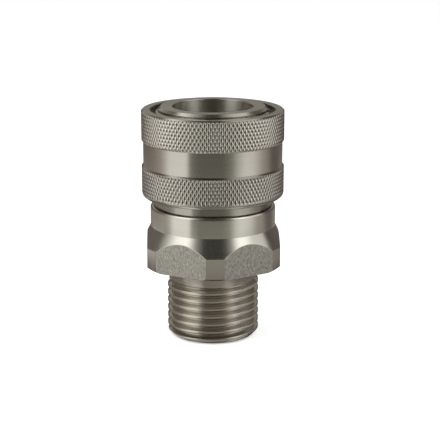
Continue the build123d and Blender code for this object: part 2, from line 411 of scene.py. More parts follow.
def finish_tree(tree, leave, blank, cutter, material, zone_r, zone_top):
    """Takes the cutter's bite out of the blank and sets the finish inside a radius and below a height."""
    cut = put(tree, "GeometryNodeMeshBoolean", operation="DIFFERENCE", solver="MANIFOLD")
    tree.links.new(blank, cut.inputs[0])
    tree.links.new(cutter, cut.inputs[1])
    real = put(tree, "GeometryNodeRealizeInstances", {"Geometry": cut.outputs["Mesh"]})
    distance, _, _, z = from_axis(tree, put(tree, "GeometryNodeInputPosition").outputs[0])
    chosen = times(tree, calc(tree, "LESS_THAN", distance, zone_r), calc(tree, "LESS_THAN", z, zone_top))
    choice = {"Geometry": real.outputs[0], "Selection": chosen, "Material": material}
    finished = put(tree, "GeometryNodeSetMaterial", choice)
    tree.links.new(finished.outputs[0], leave[0])


# %% [markdown]
# ## The screw thread
# A parallel pipe thread has 55 degrees between its flanks. Here a narrow flat of the bar stays on its crests, as on
# the real piece. The tool is one groove that winds up the bar, to the right. Its wall is a radius that depends on the
# distance from the groove's middle: a rounded root, two flanks, and a rounded shoulder at the crest. The grid's lines
# run along the groove, so the highlights on the crests stay smooth. At its upper end the tool leaves the bar in the
# turned relief above the thread, which is what a relief is for. The tool is narrower than the pitch, so that its turns
# never touch.

# %% The tree that cuts a thread
half_tool = 0.46
above_crest = 0.01 * MM
end_columns = 0.49999


def thread_tree():
    """Blank in, threaded piece out. All lengths are in metres."""
    tree, inputs, leave = new_tree(
        "cut_thread",
        "GeometryNodeTree",
        [
            ("Blank", GEOMETRY, None),
            ("Crest Radius", FLOAT, 10.4 * MM),
            ("Root Radius", FLOAT, 9.3 * MM),
            ("Groove Width", FLOAT, 1.2 * MM),
            ("Rounding", FLOAT, 0.2 * MM),
            ("Pitch", FLOAT, 1.814 * MM),
            ("Flank Angle", FLOAT, radians(27.5)),
            ("Start", FLOAT, 0.0),
            ("Turns", FLOAT, 8.0),
            ("Run-out Turns", FLOAT, 0.4),
            ("Outside Radius", FLOAT, 12 * MM),
            ("Steps", INT, 960),
            ("Rows", INT, 21),
            ("Finish Top", FLOAT, 0.0),
            ("Finish", MATERIAL, None),
        ],
        [("Geometry", GEOMETRY)],
    )
    reach = times(tree, inputs["Pitch"], half_tool)
    grid, share, _, row, across = wrapped_grid(
        tree, inputs["Steps"], inputs["Rows"], times(tree, reach, -1), reach
    )
    turns = times(tree, share, inputs["Turns"])
    slope = calc(tree, "TANGENT", inputs["Flank Angle"])
    rise = calc(tree, "DIVIDE", calc(tree, "ABSOLUTE", across), slope)
    depth = calc(tree, "DIVIDE", times(tree, inputs["Groove Width"], 0.5), slope)
    flank = plus(tree, rise, minus(tree, inputs["Crest Radius"], depth))
    rooted = calc(tree, "SMOOTH_MAX", flank, inputs["Root Radius"], inputs["Rounding"])
    crest = plus(tree, inputs["Crest Radius"], above_crest)
    shoulder = calc(tree, "SMOOTH_MIN", rooted, crest, inputs["Rounding"])
    left = times(tree, minus(tree, 1, share), inputs["Turns"])
    still_deep = calc(tree, "DIVIDE", left, inputs["Run-out Turns"])
    near_end = calc(tree, "MAXIMUM", minus(tree, 1, still_deep), 0)
    outside = inputs["Outside Radius"]
    lift = times(tree, near_end, minus(tree, outside, inputs["Root Radius"]))
    wall = calc(tree, "MINIMUM", plus(tree, shoulder, lift), outside)
    from_middle = calc(tree, "ABSOLUTE", minus(tree, share, 0.5))
    is_end = calc(tree, "GREATER_THAN", from_middle, end_columns)
    width = times(tree, across, minus(tree, 1, is_end))
    pulled = times(tree, is_end, minus(tree, outside, wall))
    climbed = plus(tree, inputs["Start"], times(tree, turns, inputs["Pitch"]))
    height = plus(tree, climbed, width)
    wall = plus(tree, wall, pulled)
    cutter = bent_tool(tree, grid, turns, row, inputs["Rows"], height, wall, outside)
    finish_tree(tree, leave, inputs["Blank"], cutter, inputs["Finish"], outside, inputs["Finish Top"])
    return tree


# %% [markdown]
# ## The knurl
# A diamond knurl is a net of small pyramids between two sets of slanted grooves. In a grid whose cells are half a
# diamond wide and half a diamond high, groove crossings and points take turns like the squares of a chessboard.
# Raising every second corner makes the pyramids, provided that each cell is split along its groove, so the cells are
# split one way or the other by turns. The points stand higher than the blank, and the blank's own surface leaves them
# flat. Towards the sleeve's foot the tool lifts, so that the grooves fade out.

# %% The tree that cuts a knurl
drum_r = 20
everywhere = 1.0


def knurl_tree():
    """Blank in, knurled piece out, with the knurl kept between the ends of two bands."""
    tree, inputs, leave = new_tree(
        "cut_knurl",
        "GeometryNodeTree",
        [
            ("Blank", GEOMETRY, None),
            ("Groove Radius", FLOAT, 15.75 * MM),
            ("Point Radius", FLOAT, 16.3 * MM),
            ("Bottom", FLOAT, 0.0),
            ("Top", FLOAT, 20 * MM),
            ("Outside Radius", FLOAT, 18 * MM),
            ("Around", INT, 216),
            ("Rows", INT, 27),
            ("Fade Height", FLOAT, 0.0),
            ("Fade Slope", FLOAT, 0.0),
            ("Lower Band Middle", VECTOR, None),
            ("Lower Band Height", FLOAT, 7 * MM),
            ("Upper Band Middle", VECTOR, None),
            ("Upper Band Height", FLOAT, 7 * MM),
            ("Finish", MATERIAL, None),
        ],
        [("Geometry", GEOMETRY)],
    )
    grid, turn, line, row, height = wrapped_grid(
        tree, inputs["Around"], inputs["Rows"], inputs["Bottom"], inputs["Top"]
    )
    column = times(tree, turn, inputs["Around"])
    cell = plus(tree, calc(tree, "FLOOR", column), calc(tree, "FLOOR", line))
    every_second = calc(tree, "FLOORED_MODULO", cell, 2)
    chosen = {"Mesh": grid, "Selection": every_second}
    one_way = put(tree, "GeometryNodeTriangulate", chosen, quad_method="FIXED_ALTERNATE")
    split = put(tree, "GeometryNodeTriangulate", {"Mesh": one_way.outputs[0]}, quad_method="FIXED")
    corner = plus(tree, calc(tree, "ROUND", column), row)
    is_point = calc(tree, "FLOORED_MODULO", corner, 2)
    relief = minus(tree, inputs["Point Radius"], inputs["Groove Radius"])
    below_fade = calc(tree, "MAXIMUM", minus(tree, inputs["Fade Height"], height), 0)
    lift = times(tree, below_fade, inputs["Fade Slope"])
    net = plus(tree, inputs["Groove Radius"], times(tree, is_point, relief))
    wall = plus(tree, net, lift)
    outside = inputs["Outside Radius"]
    cutter = bent_tool(tree, split.outputs[0], turn, row, inputs["Rows"], height, wall, outside)
    both = put(tree, "GeometryNodeJoinGeometry")
    for label in ("Lower", "Upper"):
        sizes = {"Vertices": 64, "Radius": drum_r * MM, "Depth": inputs[f"{label} Band Height"]}
        drum = put(tree, "GeometryNodeMeshCylinder", sizes).outputs["Mesh"]
        place = {"Geometry": drum, "Translation": inputs[f"{label} Band Middle"]}
        tree.links.new(put(tree, "GeometryNodeTransform", place).outputs[0], both.inputs[0])
    kept = put(tree, "GeometryNodeMeshBoolean", operation="INTERSECT", solver="MANIFOLD")
    tree.links.new(cutter, kept.inputs[1])
    tree.links.new(both.outputs[0], kept.inputs[1])
    tool = kept.outputs["Mesh"]
    finish_tree(tree, leave, inputs["Blank"], tool, inputs["Finish"], everywhere, everywhere)
    return tree


# %% [markdown]
# ## Running a tree
# A modifier carries the tree. Its inputs are set by the sockets' identifiers before Blender evaluates the object for
# the first time. The result is then read back as a plain mesh, and the modifier goes, so that what moves with the
# joints is ordinary geometry. Shading comes last: edges that turn sharply stay sharp, and the rest look rounded.


# %% The helpers that run a tree and shade the result
def read_back(piece, modifier):
    """Makes the modifier's result the piece's plain mesh and takes the modifier away."""
    graph = bpy.context.evaluated_depsgraph_get()
    made = bpy.data.meshes.new_from_object(piece.evaluated_get(graph), depsgraph=graph)
    piece.modifiers.remove(modifier)
    old = piece.data
    piece.data = made
    bpy.data.meshes.remove(old)
    made.name = piece.name


def run_tree(piece, tree, values):
    """Replaces the piece's mesh by what the tree makes of it."""
    modifier = piece.modifiers.new("cut", "NODES")
    modifier.node_group = tree
    names = {item.name: item.identifier for item in tree.interface.items_tree if item.in_out == "INPUT"}
    for name, value in values.items():
        modifier[names[name]] = value
    read_back(piece, modifier)
    piece.data.calc_loop_triangles()
    print(piece.name, len(piece.data.loop_triangles), "triangles")


def shade(piece, sharp_angle, is_soft=None, soft_angle=None):
    """Smooth faces with sharp edges where the surface turns by more than an angle in degrees.

    is_soft(radius, height), in millimetres, tells where edges use soft_angle in its place.
    """
    work = bmesh.new()
    work.from_mesh(piece.data)
    bmesh.ops.remove_doubles(work, verts=work.verts, dist=SAME_POINT)
    bmesh.ops.dissolve_degenerate(work, edges=work.edges, dist=SAME_POINT)
    for face in work.faces:
        face.smooth = True
    for edge in work.edges:
        middle = (edge.verts[0].co + edge.verts[1].co) / 2 / MM
        softened = is_soft and is_soft(hypot(middle.x, middle.y), middle.z)
        edge.smooth = edge.calc_face_angle(pi) < radians(soft_angle if softened else sharp_angle)
    loose = sum(1 for edge in work.edges if not edge.is_manifold)
    work.to_mesh(piece.data)
    work.free()
    print(piece.name, "edges that aren't closed", loose)
    weigh = piece.modifiers.new("weigh", "WEIGHTED_NORMAL")
    weigh.keep_sharp = True
    read_back(piece, weigh)


# %% [markdown]
# ## Finishes
# Everything metal here is stainless steel, so the finishes share two effects. Turning leaves fine rings round the
# axis, and milling leaves a short grain on flats. Each is a small node group that puts out heights and masks. The
# shader itself stays in each material with its constant values on its own sockets. One mask finds the bore, which is
# honed and has no rings. The other finds what lies below a height, where the colour is made darker: painted shade on
# the nose's neck under the sleeve, and a darker lower band on the sleeve.


# %% Node groups for the tool marks
def turning_marks():
    """Rings round the Z axis: fine lines in height and radius, with slow changes between them."""
    tree, inputs, leave = new_tree(
        "turning_marks",
        "ShaderNodeTree",
        [
            ("Lines per mm", FLOAT, 4.0),
            ("Bands per mm", FLOAT, 0.8),
            ("Bore Radius", FLOAT, 9.2 * MM),
            ("Darkening Height", FLOAT, -1.0),
        ],
        [(label, FLOAT) for label in ("Height", "Shade", "In Bore", "Darkening Mask")],
    )
    radius, _, _, z = from_axis(tree, put(tree, "ShaderNodeTexCoord").outputs["Object"])
    outline = put(tree, "ShaderNodeCombineXYZ", {0: radius, 1: z, 2: 0}).outputs[0]
    patterns = []
    for density in ("Lines per mm", "Bands per mm"):
        scale = calc(tree, "DIVIDE", inputs[density], MM)
        values = {"Vector": outline, "Scale": scale, "Detail": 2.0}
        patterns.append(put(tree, "ShaderNodeTexNoise", values, noise_dimensions="2D").outputs[0])
    lines, bands = patterns
    in_bore = calc(tree, "LESS_THAN", radius, inputs["Bore Radius"])
    tree.links.new(in_bore, leave["In Bore"])
    # A mask of what lies below a height, where a material makes its colour darker.
    tree.links.new(calc(tree, "LESS_THAN", z, inputs["Darkening Height"]), leave["Darkening Mask"])
    tree.links.new(times(tree, lines, minus(tree, 1, in_bore)), leave["Height"])
    half_and_half = plus(tree, times(tree, lines, 0.5), times(tree, bands, 0.5))
    tree.links.new(half_and_half, leave["Shade"])
    return tree


def milling_grain():
    """A fine grain, longer in height than in width."""
    tree, inputs, leave = new_tree(
        "milling_grain",
        "ShaderNodeTree",
        [("Grains per mm", FLOAT, 3.0)],
        [("Height", FLOAT), ("Shade", FLOAT)],
    )
    place = put(tree, "ShaderNodeTexCoord").outputs["Object"]
    shaped = put(tree, "ShaderNodeMapping", {"Vector": place, "Scale": (1.0, 1.0, 0.45)}).outputs[0]
    scale = calc(tree, "DIVIDE", inputs["Grains per mm"], MM)
    noise = put(tree, "ShaderNodeTexNoise", {"Vector": shaped, "Scale": scale, "Detail": 3.0})
    stretched = run_between(tree, noise.outputs[0], 0.3, 0.7)
    tree.links.new(stretched, leave["Height"])
    tree.links.new(stretched, leave["Shade"])
    return tree


turning = turning_marks()
milling = milling_grain()
print("node groups", turning.name, milling.name)

# %% [markdown]
# ## The steels
# All of them are one recipe with other values. Shade and gloss change a little with the marks, and a bump gives the
# marks their depth. Fine rings also draw a highlight out, which the shader's anisotropic setting does along a tangent
# round the axis. Only the nose needs it, because its bore shows such strips.

# %% A steel finish made from the groups
bore_roughness = 1.5
gloss_spread = 0.15
across_tangent = 0.25


def principled(name):
    """A new material, its node tree and its shader."""
    material = bpy.data.materials.new(name)
    material.use_nodes = True
    return material, material.node_tree, material.node_tree.nodes["Principled BSDF"]


def add_marks(tree, shader, marks, density, depth):
    """Puts a group of tool marks in, with their depth in millimetres as a bump, and returns its node."""
    group = put(tree, "ShaderNodeGroup", node_tree=marks)
    group.inputs[0].default_value = density
    bump = put(tree, "ShaderNodeBump", {"Distance": depth * MM, "Height": group.outputs["Height"]})
    tree.links.new(bump.outputs["Normal"], shader.inputs["Normal"])
    return group


def steel(name, colour, roughness, marks, density, depth, shade_change, darkening_height=None, darkening_factor=1.0, stretch=0.0):
    """Stainless steel with tool marks: density in marks per mm, depth in millimetres.

    Below a height in millimetres its colour is made darker by a factor, and stretch draws its highlights out round the
    axis.
    """
    material, tree, shader = principled(name)
    shader.inputs["Metallic"].default_value = 1.0
    group = add_marks(tree, shader, marks, density, depth)
    dark, light = ((*(c * (1 + change) for c in colour), 1) for change in (-shade_change, shade_change))
    paint = mixed_colour(tree, group.outputs["Shade"], dark, light)
    if darkening_height is not None:
        group.inputs["Darkening Height"].default_value = darkening_height * MM
        darkened_colour = (*(c * darkening_factor for c in colour), 1)
        paint = mixed_colour(tree, group.outputs["Darkening Mask"], paint, darkened_colour)
    tree.links.new(paint, shader.inputs["Base Color"])
    least, most = roughness * (1 - gloss_spread), roughness * (1 + gloss_spread)
    rough = run_between(tree, group.outputs["Shade"], 0, 1, least, most)
    if "In Bore" in group.outputs:
        honed = run_between(tree, group.outputs["In Bore"], 0, 1, 1.0, bore_roughness)
        rough = times(tree, rough, honed)
    tree.links.new(rough, shader.inputs["Roughness"])
    if stretch:
        shader.inputs["Anisotropic"].default_value = stretch
        shader.inputs["Anisotropic Rotation"].default_value = across_tangent
        round_axis = put(tree, "ShaderNodeTangent", direction_type="RADIAL", axis="Z")
        tree.links.new(round_axis.outputs[0], shader.inputs["Tangent"])
    return material


neck_top = sleeve_bottom + 1
turned_steel = steel("turned_steel", (0.60, 0.585, 0.535), 0.18, turning, 4, 0.0025, 0.07)
# The lower band, below the groove, is made darker in colour.
knurled_steel = steel(
    "knurled_steel", (0.56, 0.54, 0.49), 0.18, turning, 4, 0.0015, 0.05, darkening_height=groove_bottom, darkening_factor=0.88
)
thread_steel = steel("thread_steel", (0.60, 0.575, 0.52), 0.19, turning, 4, 0.0015, 0.06)
milled_steel = steel("milled_steel", (0.43, 0.42, 0.38), 0.44, milling, 3.4, 0.03, 0.36)
# Painted shade: below the sleeve's foot the nose's neck is darkened, because the sleeve shades it.
nose_steel = steel(
    "nose_steel", (0.60, 0.58, 0.525), 0.22, turning, 4, 0.0015, 0.06, darkening_height=neck_top, darkening_factor=0.7, stretch=0.9
)
# Painted shade: a dark steel for the sleeve's inside and underside, so that the gaps round it look dark.
shaded_inner_steel = steel("shaded_inner_steel", (0.30, 0.285, 0.255), 0.36, turning, 4, 0.0015, 0.06)
spring_wire = steel("spring_wire", (0.50, 0.49, 0.46), 0.22, milling, 5, 0.001, 0.05)
ball_steel = steel("polished_ball", (0.70, 0.69, 0.67), 0.08, milling, 1, 0.0, 0.02)
print("steels", turned_steel.name, "to", ball_steel.name)

# %% [markdown]
# ## Rubber and plastic
# The seals are moulded in black rubber, and the flat ring beside the plug's seal is cut from white plastic. One flat
# colour each would look painted, so a fine grain in height and gloss makes them dull.

# %% Rubber and plastic
grain_density = 4
dullness_spread = 0.1


def soft_finish(name, colour, roughness, grain_depth):
    """A dull moulded finish with a fine grain, its depth in millimetres."""
    material, tree, shader = principled(name)
    shader.inputs["Base Color"].default_value = (*colour, 1)
    group = add_marks(tree, shader, milling, grain_density, grain_depth)
    least, most = roughness - dullness_spread, roughness + dullness_spread
    tree.links.new(run_between(tree, group.outputs["Shade"], 0, 1, least, most), shader.inputs["Roughness"])
    return material


seal_rubber = soft_finish("seal_rubber", (0.025, 0.025, 0.024), 0.5, 0.004)
backup_plastic = soft_finish("backup_plastic", (0.80, 0.77, 0.70), 0.4, 0.002)
print("soft finishes", seal_rubber.name, backup_plastic.name)

# %% [markdown]
# ## Cutting the thread
# The adapter's blank now goes through its tree. The crests were placed by the photo: one stands 1.09 mm above the
# thread's end at the front, which is three quarters of a turn from +X, and the thread climbs one pitch in a turn. Its
# edges are shaded softly.

# %% Cut the thread
pitch = 1.814
front_crest = 1.09
front_turn = 0.75
first_groove = front_crest + pitch / 2 - front_turn * pitch
thread_margin = 0.01


def on_thread(r, z):
    """Whether a place belongs to the thread."""
    return r < thread_r + thread_margin and z < relief_top + thread_margin


adapter.data.materials.append(turned_steel)
run_tree(
    adapter,
    thread_tree(),
    {
        "Crest Radius": thread_r * MM,
        "Root Radius": 9.32 * MM,
        "Groove Width": 1.26 * MM,
        "Rounding": 0.14 * MM,
        "Pitch": pitch * MM,
        "Flank Angle": radians(27.5),
        "Start": (first_groove - pitch) * MM,
        "Turns": 8.05,
        "Run-out Turns": 0.2,
        "Outside Radius": 11.5 * MM,
        "Steps": 1296,
        "Rows": 25,
        "Finish Top": relief_top * MM,
        "Finish": thread_steel,
    },
)
shade(adapter, 10, on_thread, soft_angle=38)

# %% [markdown]
# ## The milled flats
# Only the six flats have the matt, streaky look of a milling cutter. They could be a second piece, but they are faces
# of the same bar, so they get their own material. Such a face is upright, and as far from the axis as the flat.

# %% The milled finish on the six flats
flat_tolerance = 0.005
upright = 0.1
milled_slot = len(adapter.data.materials)
adapter.data.materials.append(milled_steel)
flat_faces = 0
for face in adapter.data.polygons:
    from_flat = (atan2(face.center.y, face.center.x) + pi / 6) % (pi / 3) - pi / 6
    distance = hypot(face.center.x, face.center.y) * cos(from_flat) / MM
    is_level = hex_bottom < face.center.z / MM < collar_bottom
    if is_level and abs(distance - flat_r) < flat_tolerance and abs(face.normal.z) < upright:
        face.material_index = milled_slot
        flat_faces += 1
print("faces on the flats", flat_faces)

# %% [markdown]
# ## Cutting the knurl
# The tool covers the whole sleeve and a little more at both ends, and two drums keep only what bites in the bands, so
# that the groove between them stays turned. Edges in a band are shaded softly.

# %% Cut the knurl
diamond_height = 1.61
knurl_depth = 0.17
knurl_slope = 0.85
fade_height = 1.3
fade_slope = 0.25
plain_end = 0.12
past_ends = 1
tool_thickness = 2
floor_margin = 0.02
end_margin = 0.05
row_height = diamond_height / 2
knurl_rows = 2 * ceil((sleeve_top - sleeve_bottom + 2 * past_ends) / diamond_height) + 2
knurl_bottom = sleeve_bottom - past_ends
groove_r = sleeve_r - knurl_depth
point_r = groove_r + knurl_slope * pi * sleeve_r / diamonds_round
band_ends = [
    (knurl_bottom, groove_bottom - grip_depth - plain_end),
    (groove_top, sleeve_top - rim_chamfer),
]
band_values = {}
for label, (low, high) in zip(("Lower", "Upper"), band_ends):
    band_values[f"{label} Band Middle"] = (0, 0, (low + high) / 2 * MM)
    band_values[f"{label} Band Height"] = (high - low) * MM
run_tree(
    sleeve,
    knurl_tree(),
    {
        "Groove Radius": groove_r * MM,
        "Point Radius": point_r * MM,
        "Bottom": knurl_bottom * MM,
        "Top": (knurl_bottom + (knurl_rows - 1) * row_height) * MM,
        "Outside Radius": (sleeve_r + tool_thickness) * MM,
        "Around": 2 * diamonds_round,
        "Rows": knurl_rows,
        "Fade Height": (sleeve_bottom + fade_height) * MM,
        "Fade Slope": fade_slope,
        **band_values,
        "Finish": knurled_steel,
    },
)
knurl_floor = groove_r * cos(pi / (2 * diamonds_round)) - floor_margin


def on_knurl(r, z):
    """Whether a place lies in one of the two bands."""
    return r > knurl_floor and any(low + end_margin < z < high - end_margin for low, high in band_ends)


shade(sleeve, 10, on_knurl, soft_angle=80)

# %% [markdown]
# ## The sleeve's inside and underside
# Only the sleeve's outside and rim are polished. Its inside and the ring under its foot get a rougher steel with a
# dark colour. This is painted shade, which keeps the gap round the nose and the gap over the collar dark. The faces are
# found by where they point.

# %% Painted shade on the inside and underside of the sleeve
downward = -0.7
shaded_inner_slot = len(sleeve.data.materials)
sleeve.data.materials.append(shaded_inner_steel)
shaded_inner_faces = 0
for face in sleeve.data.polygons:
    outward = face.normal.x * face.center.x + face.normal.y * face.center.y
    height = face.center.z / MM
    is_inside = outward < 0 and height < sleeve_top - mouth_chamfer
    is_under = face.normal.z < downward and height < sleeve_bottom + foot_height
    if is_inside or is_under:
        face.material_index = shaded_inner_slot
        shaded_inner_faces += 1
print("faces inside and under the sleeve", shaded_inner_faces)

# %% [markdown]
# ## Springs
# The real springs are round wire with closed, ground ends. The CAD springs are plain helices, so they are replaced by
# tubes that follow a helix whose pitch shrinks to one wire at each end.

# %% The helper that winds a spring
closed_climb = 0.08


def wound_spring(name, coil_r, wire, bottom, top, turns, steps=40, sides=10):
    """A tube along a helix with closed ends, ground flat at the bottom and the top."""
    count = int(turns * steps)
    span_height = top - bottom - wire
    coil = [turns * i / count for i in range(count + 1)]
    openness = [min(1.0, turn, turns - turn) for turn in coil]
    climbs = [0.0]
    for a, b in zip(openness, openness[1:]):
        climbs.append(climbs[-1] + closed_climb + (a + b) / 2)
    points, faces = [], []
    for turn, climb in zip(coil, climbs):
        angle = 2 * pi * turn
        z = bottom + wire / 2 + span_height * climb / climbs[-1]
        for side in range(sides):
            tilt = 2 * pi * side / sides
            r = coil_r + wire / 2 * cos(tilt)
            h = min(max(z + wire / 2 * sin(tilt), bottom), top)
            points.append((r * cos(angle) * MM, r * sin(angle) * MM, h * MM))
    for i in range(count):
        for side in range(sides):
            a, b = i * sides + side, i * sides + (side + 1) % sides
            faces.append((a, a + sides, b + sides, b))
    faces.append(tuple(range(sides)))
    faces.append(tuple(reversed(range(count * sides, (count + 1) * sides))))
    spring = new_piece(name, points, faces)
    spring.data.materials.append(spring_wire)
    return spring


travels = {joint["name"]: joint["range_m"][1] / MM for joint in frame["joints"] if joint["type"] == "slide"}
springs = []
for name, node, joint, coil_r, wire, turns in (
    ("round_sleeve_spring", "sleeve_spring", "sleeve_slide", 12.65, 1.1, 3.5),
    ("round_valve_spring", "valve_spring", "valve_slide", 4.2, 0.9, 7),
):
    low, high = span(node)
    spring = wound_spring(name, coil_r, wire, low[2], high[2], turns)
    springs.append((spring, node, joint, low[2], high[2] - low[2], travels[joint]))
    shade(spring, 40)

# %% [markdown]
# ## Every piece on its body
# A piece that stands for a CAD node hides it and rides on the same body. CAD nodes whose shape is right stay and get
# their finish.

# %% Ride and replace
for piece, node, body, slot in (
    (adapter, "adapter", "socket", "body_steel"),
    (sleeve, "sleeve", "sleeve", "sleeve_steel"),
):
    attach(piece, body)
    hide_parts(node)
for spring, node, joint, bottom, length, travel in springs:
    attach(spring, "socket")
    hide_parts(node)
    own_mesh(spring)

# %% Finishes on the CAD nodes that stay
finish_of = {
    "front_body": nose_steel,
    "sleeve_retaining_ring": spring_wire,
    "valve_poppet": turned_steel,
    "valve_guide": turned_steel,
    "plug_seal_ring": seal_rubber,
    "joint_seal_ring": seal_rubber,
    "valve_seal_ring": seal_rubber,
    "plug_backup_ring": backup_plastic,
}
finish_of.update({node: ball_steel for node in frame["nodes"] if node.startswith("ball_")})
for node, finish in finish_of.items():
    data = frame["nodes"][node].data
    data.materials.clear()
    data.materials.append(finish)
print("finished CAD nodes", len(finish_of))

# %% [markdown]
# ## The floor and the world
# The floor is plain and white, and the light is soft and even. The floor glows a little where it is seen, so that it
# is white and keeps the shadow. Mirrors see that glow too, except on the dark spot under the part. The world also is
# brighter where it is seen than where it lights the part.

# %% Floor
floor_size = 6.0
floor_glow = 0.35
under_part_r = 0.0102


def seen_by(tree, *kinds):
    """1 for the kinds of rays that are named, and 0 for the rest."""
    rays = put(tree, "ShaderNodeLightPath").outputs
    seen = rays[f"Is {kinds[0]} Ray"]
    for kind in kinds[1:]:
        seen = calc(tree, "MAXIMUM", seen, rays[f"Is {kind} Ray"])
    return seen


bpy.ops.mesh.primitive_plane_add(size=floor_size, location=(0, 0, 0))
floor = bpy.context.object
floor.name = "floor"
floor_paint, floor_tree, floor_shader = principled("floor_paint")
floor_shader.inputs["Base Color"].default_value = (0.9, 0.9, 0.9, 1)
floor_shader.inputs["Roughness"].default_value = 0.9
floor_shader.inputs["Emission Color"].default_value = (1, 1, 1, 1)
from_middle = from_axis(floor_tree, put(floor_tree, "ShaderNodeTexCoord").outputs["Object"])[0]
in_open = calc(floor_tree, "GREATER_THAN", from_middle, under_part_r)
mirrored = times(floor_tree, seen_by(floor_tree, "Glossy", "Transmission"), in_open)
shown = calc(floor_tree, "MAXIMUM", seen_by(floor_tree, "Camera"), mirrored)
floor_tree.links.new(times(floor_tree, shown, floor_glow), floor_shader.inputs["Emission Strength"])
floor.data.materials.append(floor_paint)
floor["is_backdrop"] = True
print("floor", floor_size, "m, glow", floor_glow)

# %% World
lighting_strength = 0.6
extra_when_seen = 0.4
world = bpy.data.worlds.new("studio")
bpy.context.scene.world = world
world.use_nodes = True
world_tree = world.node_tree
background = world_tree.nodes["Background"]
background.inputs["Color"].default_value = (1, 1, 1, 1)
shown = seen_by(world_tree, "Camera", "Glossy", "Transmission")
strength = plus(world_tree, times(world_tree, shown, extra_when_seen), lighting_strength)
world_tree.links.new(strength, background.inputs["Strength"])
print("world strength", lighting_strength, "and where it is seen", extra_when_seen, "more")

# %% [markdown]
# ## The lantern: what the steel mirrors
# Polished steel shows mostly what stands round it, so a photographer hangs grey and white cards round a fitting. Many
# planes could stand for them, but one tent is easier to steer. It is a stage piece that only reflections see, and it
# is bright at the left and right, dark towards the camera and grey behind. A card is a direction in degrees from the
# camera's side to the right, a brightness and a tint. They stand in five rings that blend into each other: near the
# part on the floor, further out, level with the part, high, and near the top. The near ring has a band that the
# hexagon shades, and a few single cards lie on the floor where a flat or the shank mirrors them.

# %% The lantern's cards
OLIVE = (1.0, 0.98, 0.84)
BROWN = (1.0, 0.89, 0.80)
CREAM = (1.0, 0.985, 0.95)
near_cards = (
    (-180, 0.28, BROWN), (-130, 0.22, BROWN), (-84, 0.30, BROWN), (-66, 0.66, BROWN),
    (-52, 0.98, CREAM), (-34, 0.98, CREAM), (-24, 0.27, BROWN), (-10, 0.28, BROWN),
    (20, 0.35, BROWN), (32, 0.58, BROWN), (42, 0.84, CREAM), (58, 0.36, CREAM), (76, 0.44, CREAM),
    (88, 0.38, BROWN), (130, 0.26, BROWN), (180, 0.28, BROWN),
)
low_cards = (
    (-180, 0.23, BROWN), (-150, 0.31, BROWN), (-112, 0.36, BROWN), (-93, 0.46, BROWN),
    (-84, 0.60, CREAM), (-75, 1.08, CREAM), (-43, 1.06, CREAM), (-39, 0.30, OLIVE),
    (-24, 0.22, OLIVE), (14, 0.22, OLIVE), (28, 0.36, OLIVE), (38, 0.84, CREAM), (50, 1.04, CREAM),
    (66, 0.88, CREAM), (82, 0.46, BROWN), (96, 0.38, BROWN), (108, 0.18, BROWN), (122, 0.14, BROWN),
    (142, 0.31, BROWN), (180, 0.23, BROWN),
)
level_cards = (
    (-180, 0.04, OLIVE), (-152, 0.15, BROWN), (-130, 0.18, BROWN), (-112, 0.26, BROWN),
    (-93, 0.44, BROWN), (-75, 0.90, CREAM), (-43, 1.00, CREAM), (-38, 0.20, OLIVE),
    (-24, 0.12, OLIVE), (16, 0.12, OLIVE), (30, 0.24, OLIVE), (52, 0.82, CREAM), (66, 0.80, CREAM),
    (90, 0.42, BROWN), (108, 0.15, BROWN), (130, 0.15, BROWN), (150, 0.15, BROWN),
    (180, 0.04, OLIVE),
)
high_cards = (
    (-180, 0.38, OLIVE), (-150, 0.38, OLIVE), (-125, 0.14, BROWN), (-105, 0.20, BROWN),
    (-88, 0.8, CREAM), (-72, 1.6, CREAM), (-50, 1.75, CREAM), (-36, 0.40, CREAM),
    (-20, 0.06, OLIVE), (20, 0.06, OLIVE), (34, 0.35, CREAM), (48, 1.7, CREAM), (62, 1.65, CREAM),
    (76, 0.95, CREAM), (99, 0.85, CREAM), (108, 0.10, BROWN), (130, 0.10, BROWN),
    (152, 0.28, OLIVE), (180, 0.36, OLIVE),
)
upper_cards = (
    (-180, 0.15, BROWN), (-158, 0.40, BROWN), (-145, 1.10, BROWN), (-124, 1.05, CREAM),
    (-106, 1.35, CREAM), (-89, 0.46, CREAM), (-76, 0.10, CREAM), (-60, 0.05, OLIVE),
    (-35, 0.03, OLIVE), (35, 0.03, OLIVE), (48, 0.10, CREAM), (60, 0.38, CREAM), (80, 0.68, CREAM),
    (100, 0.60, CREAM), (120, 0.90, CREAM), (145, 1.10, BROWN), (158, 0.40, BROWN),
    (180, 0.15, BROWN),
)
zenith_colour = (0.10, 0.095, 0.08)
# Painted shadow: the lantern is dark under the part, where the part shades the real floor.
under_part_shadow_colour = (0.06, 0.056, 0.048)
floor_cards = (
    ((-18, 18), (56, 74), (0.24, BROWN)),
    ((-64, -30), (52, 66), (0.27, BROWN)),
    ((-72, -46), (71, 88), (1.2, CREAM)),
    ((40, 130), (52, 66), (0.13, BROWN)),
    ((-18, 18), (82, 98), (0.42, OLIVE)),
    ((-136, -100), (80, 100), (0.60, CREAM)),
)
rings = (near_cards, low_cards, level_cards, high_cards, upper_cards)
print("cards in the rings", [len(ring) for ring in rings], "and single", len(floor_cards))

# %% Helpers for the lantern's glow
full_glow = 2.0


def half_bright(colour, value=1.0):
    """A tint at a brightness, halved, because a colour ramp stops at 1 and the cards go up to 2."""
    return (*(value * channel / full_glow for channel in colour), 1)


def ring_of(tree, azimuth, cards):
    """A colour by azimuth, through a colour ramp with one stop for each card."""
    share = calc(tree, "DIVIDE", plus(tree, azimuth, 180), 360)
    ramp = put(tree, "ShaderNodeValToRGB", {0: share})
    stops = ramp.color_ramp.elements
    for turn, _, _ in cards[1:-1]:
        stops.new((turn + 180) / 360)
    for stop, (_, value, tint) in zip(stops, cards):
        stop.color = half_bright(tint, value)
    return ramp.outputs[0]


